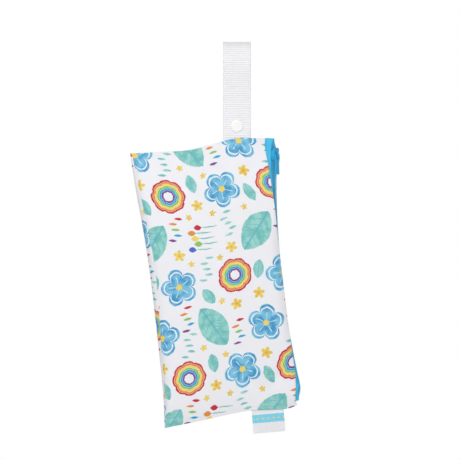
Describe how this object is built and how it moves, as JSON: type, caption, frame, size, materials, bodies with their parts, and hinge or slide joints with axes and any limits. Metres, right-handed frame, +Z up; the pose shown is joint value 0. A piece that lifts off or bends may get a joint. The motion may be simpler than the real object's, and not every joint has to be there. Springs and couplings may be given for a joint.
{
  "type": "wet bag clutch",
  "caption": "Soft flat pouch of printed cloth, zipped down one side, hung from a ribbed ribbon loop that closes with a snap, with a small folded label in the bottom seam.",
  "frame": {"origin": "inside top of the ribbon loop, the point that the bag hangs from", "axes": "+Z up along the plumb ribbon, -Y out of the printed front, +X to the zip side"},
  "size_m": [0.1421, 0.0222, 0.3264],
  "materials": {
    "printed_cloth": "white laminated knit with a scattered watercolour print in blue, teal, yellow and rainbow colours",
    "zip_tape": "bright blue woven tape",
    "zip_coil": "bright blue moulded coil",
    "slider_paint": "bright blue paint, satin",
    "ribbon": "white cross-ribbed ribbon",
    "snap_plastic": "warm white, glossy",
    "label_satin": "white woven satin with a pale blue band"
  },
  "bodies": {
    "bag": {"bag_body": "printed_cloth", "zip_tape_front": "zip_tape", "zip_tape_back": "zip_tape", "zip_coil_front": "zip_coil", "zip_coil_back": "zip_coil", "zip_slider": "slider_paint", "hang_ribbon": "ribbon", "snap_front": "snap_plastic", "snap_back": "snap_plastic", "label": "label_satin"},
    "pull": {"zip_pull": "slider_paint"}
  },
  "joints": [
    {"name": "pull_swing", "type": "hinge", "parent": "bag", "child": "pull", "pos_m": [0.03342, -0.00323, -0.09311], "axis": [-0.6157, -0.788, 0.0036], "range_deg": [0, 180]}
  ]
}
